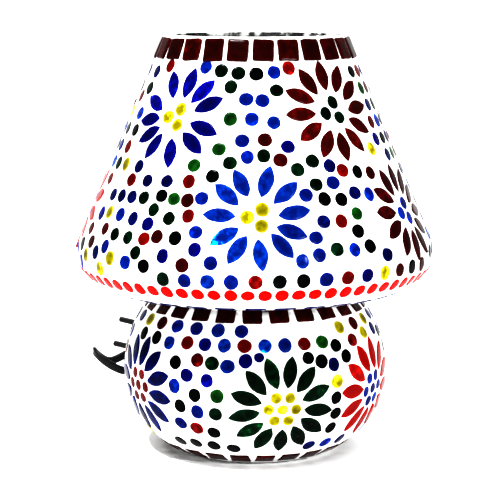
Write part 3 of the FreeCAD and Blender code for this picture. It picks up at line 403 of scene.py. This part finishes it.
def glass_pieces(node, seed):
    """Hand-cut pieces of glass with nibbled edges and softly domed faces, in place of a node's prisms."""
    mesh = nodes[node].data
    dice = random.Random(seed)
    points, faces, tints, tones = [], [], [], []
    small = node.startswith("dots_") or node == "edge_ovals"
    tile = node.endswith("_tiles")
    sunk = DEPTH + RIM_PROUD if node == "rim_tiles" else DEPTH
    for corners, facing in piece_points(mesh):
        centre = sum(corners, Vector()) / len(corners)
        normal = outward_of(centre, facing)
        side = Vector((0, 0, 1)).cross(normal).normalized()
        up = normal.cross(side)
        top = max((corner - centre).dot(normal) for corner in corners)
        flat = [((corner - centre).dot(side), (corner - centre).dot(up)) for corner in corners]
        flat = [(round(u, 6), round(v, 6)) for u, v in flat]
        count = 26 if small else 36
        outline = resampled(hull(flat), count)
        size = dice.uniform(0.95, 1.03) if small else dice.uniform(0.97, 1.02)
        stretch = dice.uniform(-0.05, 0.05) if small else dice.uniform(-0.02, 0.02)
        if node == "rim_tiles":
            size, stretch = size * RIM_GROWTH, stretch - RIM_NARROWING
        spin = math.radians(dice.uniform(-4, 4))
        waves = [(dice.uniform(0, 6.28), dice.uniform(0.3, 1.0)) for _ in range(4)]
        longest = max(math.hypot(u, v) for u, v in outline)
        rough = (0.026 if small else 0.012) * longest
        shaped = []
        for i, (u, v) in enumerate(outline):
            angle = 2 * math.pi * i / count
            wave = sum(math.sin(angle * (n + 2) + phase) * part for n, (phase, part) in enumerate(waves))
            nibble = dice.uniform(-1, 1) * rough * 0.7
            reach = math.hypot(u, v)
            grow = 1 + (wave * rough * 0.6 + nibble) / max(reach, 1e-6)
            if tile and reach > longest * 0.9:
                grow *= 1 - dice.uniform(0.2, 0.7) * (reach / longest - 0.9)
            u2 = u * size * (1 + stretch) * grow
            v2 = v * size * (1 - stretch) * grow
            shaped.append(
                (u2 * math.cos(spin) - v2 * math.sin(spin), u2 * math.sin(spin) + v2 * math.cos(spin))
            )
        tilt_u, tilt_v = dice.uniform(-0.03, 0.03), dice.uniform(-0.03, 0.03)
        tone = dice.random()
        base = len(points)
        for scale, height, tint in RINGS:
            for u, v in shaped:
                lean = (u * tilt_u + v * tilt_v) * scale if height > -MM else 0.0
                rise = -sunk if height == -DEPTH else height + lean
                points.append(centre + side * u * scale + up * v * scale + normal * (top + rise))
                tints.append(tint)
                tones.append(tone)
        rings = len(RINGS)
        for ring in range(rings - 1):
            for j in range(count):
                k = (j + 1) % count
                low, high = base + ring * count, base + (ring + 1) * count
                faces.append((low + j, low + k, high + k, high + j))
        faces.append(tuple(base + j for j in range(count))[::-1])
        points.append(centre + normal * (top + CROWN))
        tints.append(0.0)
        tones.append(tone)
        crown = len(points) - 1
        last = base + (rings - 1) * count
        for j in range(count):
            faces.append((last + j, last + (j + 1) % count, crown))
    made = add_mesh(node + "_glass", points, faces)
    made.data.attributes.new("edge", "FLOAT", "POINT").data.foreach_set("value", tints)
    made.data.attributes.new("tone", "FLOAT", "POINT").data.foreach_set("value", tones)
    return made


def glass_material(name, centre, edge, glint):
    """Glossy coloured glass: dark in the middle, lighter at the cut edge and along streaks in it, the
    brightest streaks a painted glint.
    """
    material = new_material(name, centre, 0.13, Specular_IOR_Level=0.02)
    tree, vector = texture_coordinates(material)
    shader = tree.nodes["Principled BSDF"]

    def math_node(operation, *inputs):
        made = tree.nodes.new("ShaderNodeMath")
        made.operation = operation
        for socket, value in zip(made.inputs, inputs):
            if isinstance(value, float):
                socket.default_value = value
            else:
                tree.links.new(value, socket)
        return made.outputs["Value"]

    def attribute(key):
        made = tree.nodes.new("ShaderNodeAttribute")
        made.attribute_name = key
        return made.outputs["Fac"]

    streaks = tree.nodes.new("ShaderNodeMapRange")
    streaks.inputs["From Min"].default_value = 0.44
    streaks.inputs["From Max"].default_value = 0.72
    tree.links.new(add_noise(tree, vector, 230.0, 4.0), streaks.inputs["Value"])
    tone = attribute("tone")
    lively = math_node("MULTIPLY_ADD", math_node("POWER", tone, 2.5), 0.75, 0.12)
    mixed = math_node("MULTIPLY", streaks.outputs["Result"], lively)
    mixed = math_node("MULTIPLY_ADD", attribute("edge"), 0.28, mixed)
    mixed = math_node("MULTIPLY_ADD", tone, 0.10, mixed)
    ramp = tree.nodes.new("ShaderNodeValToRGB")
    ramp.color_ramp.elements[0].color = (*centre, 1.0)
    # the last stop is a painted highlight along the brightest streaks
    ramp.color_ramp.elements[1].color = (*glint, 1.0)
    middle = ramp.color_ramp.elements.new(0.62)
    middle.color = (*edge, 1.0)
    tree.links.new(mixed, ramp.inputs["Fac"])
    tree.links.new(ramp.outputs["Color"], shader.inputs["Base Color"])
    add_bump(tree, add_noise(tree, vector, 420.0, 2.0), 0.25, 0.0002)
    return material


glasses = {}
for seed, node in enumerate(sorted(NODE_GLASS)):
    colour = NODE_GLASS[node]
    centre, edge, glint, slot = GLASS[colour]
    if colour not in glasses:
        glasses[colour] = glass_material(colour + "_glass", centre, edge, glint)
    made = glass_pieces(node, seed)
    made.data.materials.append(glasses[colour])
    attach(made, "lamp")
    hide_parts(node)


# ---------------------------------------------------------------- grout
EDGE_TOP, EDGE_LOW = (76.8, 124.5), (93.8, 124.5)
UNDERSIDE = (80.365, 137.935)
GROOVE = (52.0, 107.958)
WAIST, SHOULDER, BELLY_LOW = (47.374, 86.041), (15.5, 51.5), (27.8, 51.5)
CONE_TURN, UNDERSIDE_TURN, WAIST_TOP_TURN, WAIST_TURN = 23.0926, -111.9244, 78.0803, 47.3


def arc_points(centre, radius, start, end, steps):
    return [polar(centre, radius, start + (end - start) * i / steps) for i in range(steps + 1)]


def vessel_outline(depth, top):
    """Radius and height of the vessel's skin, the given depth under the mosaic's face, rim to foot."""
    low = polar(EDGE_TOP, 34 - depth, CONE_TURN)
    slope = math.tan(math.radians(CONE_TURN))
    outline = [
        (low[0] - (height - low[1]) * slope, height)
        for height in [top - (top - low[1]) * i / 40 for i in range(41)]
    ]
    outline += arc_points(EDGE_TOP, 34 - depth, CONE_TURN, 0, 10)[1:]
    outline += arc_points(EDGE_LOW, 17 - depth, 0, -45, 14)[1:]
    outline += arc_points(UNDERSIDE, 36 - depth, -45, UNDERSIDE_TURN, 22)[1:]
    outline += arc_points(GROOVE, 2.4 + depth, UNDERSIDE_TURN + 180, WAIST_TOP_TURN + 180, 12)
    outline += arc_points(WAIST, 20 - depth, WAIST_TOP_TURN, WAIST_TURN, 10)[1:]
    outline += arc_points(SHOULDER, 67 - depth, WAIST_TURN, 0, 26)[1:]
    reach = 54.7 - depth
    outline += arc_points(BELLY_LOW, reach, 0, -math.degrees(math.asin((51.5 - 0.5) / reach)), 34)[1:]
    return outline


GROUT_STEPS = 220
GROUT_TOP = 259.0
LIP_TOP = 259.45
LIP_INSET = 0.5
GROUT_DEPTH = 0.2  # how far the grout lies under the mosaic's face
GROUT_BACK = 2.62  # depth of the grout's inner face
SHOULDER_LINE, SHOULDER_FADE = 95.2, 1.8  # height above which the base's shoulder darkens with painted shade, and how fast
SHADE_REACH, SHADE_FADE = 70.0, 5.0  # radius inside which the painted shade darkens it, and how fast
MOUTH_LINE = 253.0  # height above which the inner face darkens with painted shade


def painted_groove_shade(radius, height):
    """Painted shade on the grout: darkest in the depth of the waist's groove and on the base's shoulder
    under the shade's edge.
    """
    if height > GROOVE[1] + 3.0:
        return 0.0
    up_the_shoulder = (height - SHOULDER_LINE) / SHOULDER_FADE
    towards_the_axis = (SHADE_REACH - radius) / SHADE_FADE
    return max(0.0, min(1.0, up_the_shoulder, towards_the_axis))


def painted_mouth_shade(height):
    """How dark the grout's inner face is: painted shade just inside the mouth."""
    return max(0.0, min(1.0, height - MOUTH_LINE))


def turned(name, outline, steps=GROUT_STEPS):
    points, faces = [], []
    for i in range(steps):
        angle = 2 * math.pi * i / steps
        points += [Vector((r * math.cos(angle), r * math.sin(angle), z)) * MM for r, z in outline]
    count = len(outline)
    for i in range(steps):
        for j in range(count):
            a, b = i * count, ((i + 1) % steps) * count
            k = (j + 1) % count
            faces.append((a + j, b + j, b + k, a + k))
    return add_mesh(name, points, faces)


def grout_mesh():
    outside = vessel_outline(GROUT_DEPTH, GROUT_TOP)
    inside = vessel_outline(GROUT_BACK, GROUT_TOP)[::-1]
    lip = [(inside[-1][0] + LIP_INSET, LIP_TOP), (outside[0][0] - LIP_INSET, LIP_TOP)]
    made = turned("grout", lip + outside + inside)
    # painted shade for each outline point: none on the lip, in the groove outside, just inside the mouth
    painted_shade = [0.0] * len(lip)
    painted_shade += [painted_groove_shade(radius, height) for radius, height in outside]
    painted_shade += [painted_mouth_shade(height) for _, height in inside]
    painted_shade *= GROUT_STEPS
    made.data.attributes.new("painted_shade", "FLOAT", "POINT").data.foreach_set("value", painted_shade)
    return made


def grout_material():
    material = new_material("grout", (0.93, 0.93, 0.92), 0.75, Specular_IOR_Level=0.3)
    tree, vector = texture_coordinates(material)
    shader = tree.nodes["Principled BSDF"]
    patches = add_noise(tree, vector, 60.0, 5.0)
    ramp = tree.nodes.new("ShaderNodeValToRGB")
    ramp.color_ramp.elements[0].position = 0.3
    ramp.color_ramp.elements[0].color = (0.86, 0.86, 0.85, 1.0)
    ramp.color_ramp.elements[1].position = 0.6
    ramp.color_ramp.elements[1].color = (0.94, 0.94, 0.93, 1.0)
    tree.links.new(patches, ramp.inputs["Fac"])
    painted_shade = tree.nodes.new("ShaderNodeAttribute")
    painted_shade.attribute_name = "painted_shade"
    # near-black painted shade, broken up by noise, mixed into the grout's colour
    painted_shade_mix = tree.nodes.new("ShaderNodeMix")
    painted_shade_mix.data_type = "RGBA"
    painted_shade_mix.inputs["B"].default_value = (0.012, 0.011, 0.012, 1.0)
    uneven = tree.nodes.new("ShaderNodeMapRange")
    uneven.inputs["From Min"].default_value = 0.36
    uneven.inputs["From Max"].default_value = 0.50
    tree.links.new(add_noise(tree, vector, 110.0, 3.0), uneven.inputs["Value"])
    painted_shade_factor = tree.nodes.new("ShaderNodeMath")
    painted_shade_factor.operation = "MULTIPLY"
    tree.links.new(painted_shade.outputs["Fac"], painted_shade_factor.inputs[0])
    tree.links.new(uneven.outputs["Result"], painted_shade_factor.inputs[1])
    tree.links.new(painted_shade_factor.outputs["Value"], painted_shade_mix.inputs["Factor"])
    tree.links.new(ramp.outputs["Color"], painted_shade_mix.inputs["A"])
    tree.links.new(painted_shade_mix.outputs["Result"], shader.inputs["Base Color"])
    add_bump(tree, add_noise(tree, vector, 700.0, 4.0), 0.35, 0.0003)
    return material


grout = grout_mesh()
grout.data.materials.append(grout_material())
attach(grout, "lamp")
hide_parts("grout_bed")


# ---------------------------------------------------------------- the other pieces
clear = new_material("clear_glass", (0.97, 0.99, 0.985), 0.02, Transmission_Weight=1.0, IOR=1.5)
frosted = new_material("frosted_bulb_glass", (0.93, 0.93, 0.92), 0.45, Transmission_Weight=0.35, IOR=1.45)
nickel = new_material("nickel_steel", (0.72, 0.71, 0.69), 0.22, Metallic=1.0)
brass = new_material("brass", (0.80, 0.60, 0.28), 0.25, Metallic=1.0)
solder = new_material("solder_metal", (0.55, 0.55, 0.56), 0.45, Metallic=1.0)
plastic = new_material("holder_plastic", (0.02, 0.02, 0.02), 0.3, Specular_IOR_Level=0.5)
ceramic = new_material("white_ceramic", (0.84, 0.83, 0.79), 0.2, Coat_Weight=0.5)
insulator = new_material("black_insulator", (0.01, 0.01, 0.011), 0.25)
black_rubber = new_material("black_rubber", (0.014, 0.014, 0.015), 0.5)
dark_pins = new_material("dark_pins", (0.004, 0.004, 0.0045), 0.3, Specular_IOR_Level=0.2)
LOOKS = {
    "glass_shade": clear,
    "glass_base": clear,
    "holder_plate": nickel,
    "thread_tube": nickel,
    "lock_nut": nickel,
    "lock_washer": nickel,
    "holder_cap": plastic,
    "holder_skirt": plastic,
    "terminal_block": ceramic,
    "terminal_screws": brass,
    "holder_contact": brass,
    "screw_shell": brass,
    "bulb_glass": frosted,
    "bulb_cap": nickel,
    "bulb_insulator": insulator,
    "bulb_contact": solder,
    "bulb_stem": clear,
    "bulb_filament": solder,
    "flex_inside": rubber,
    "cord_grommet": black_rubber,
    "cord_tie": rubber,
    "plug_body": black_rubber,
    "plug_insert": insulator,
    "plug_pins": dark_pins,
}
for node, material in LOOKS.items():
    dress(node, material)


# ---------------------------------------------------------------- stage and light
def add_stage():
    white = new_material("stage_white", (0.95, 0.95, 0.95), 0.9, Specular_IOR_Level=0.1)
    depth, back = 3.0, 0.9
    profile = [(-2.5, 0.0), (back, 0.0)]
    profile += [
        (back + 0.6 * math.sin(math.radians(a)), 0.6 - 0.6 * math.cos(math.radians(a)))
        for a in range(10, 91, 10)
    ]
    profile.append((back + 0.6, 3.0))
    points = [(x, y, z) for y, z in profile for x in (-depth, depth)]
    faces = [(2 * i, 2 * i + 1, 2 * i + 3, 2 * i + 2) for i in range(len(profile) - 1)]
    sweep = add_mesh("backdrop", points, faces)
    sweep.data.materials.append(white)


def add_area(name, place, aim, width, height, power):
    data = bpy.data.lights.new(name, "AREA")
    data.shape = "RECTANGLE"
    data.size = width
    data.size_y = height
    data.energy = power
    lamp = bpy.data.objects.new(name, data)
    lamp.location = place
    direction = Vector(aim) - Vector(place)
    lamp.rotation_euler = direction.to_track_quat("-Z", "Y").to_euler()
    bpy.context.scene.collection.objects.link(lamp)


def add_world(strength):
    world = bpy.data.worlds.new("room")
    world.use_nodes = True
    background = world.node_tree.nodes["Background"]
    background.inputs["Color"].default_value = (1.0, 1.0, 1.0, 1.0)
    background.inputs["Strength"].default_value = strength
    bpy.context.scene.world = world


add_stage()
add_world(0.30)
add_area("key", (-0.6, -0.8, 1.7), (0, 0, 0.13), 0.12, 0.12, 52)
add_area("fill", (1.0, -1.4, 0.8), (0, 0, 0.13), 0.10, 0.10, 20)
add_area("top", (0.1, 0.1, 1.7), (0, 0, 0.1), 0.8, 0.8, 20)
view = bpy.context.scene.view_settings
view.view_transform = "Standard"
view.look = "High Contrast"
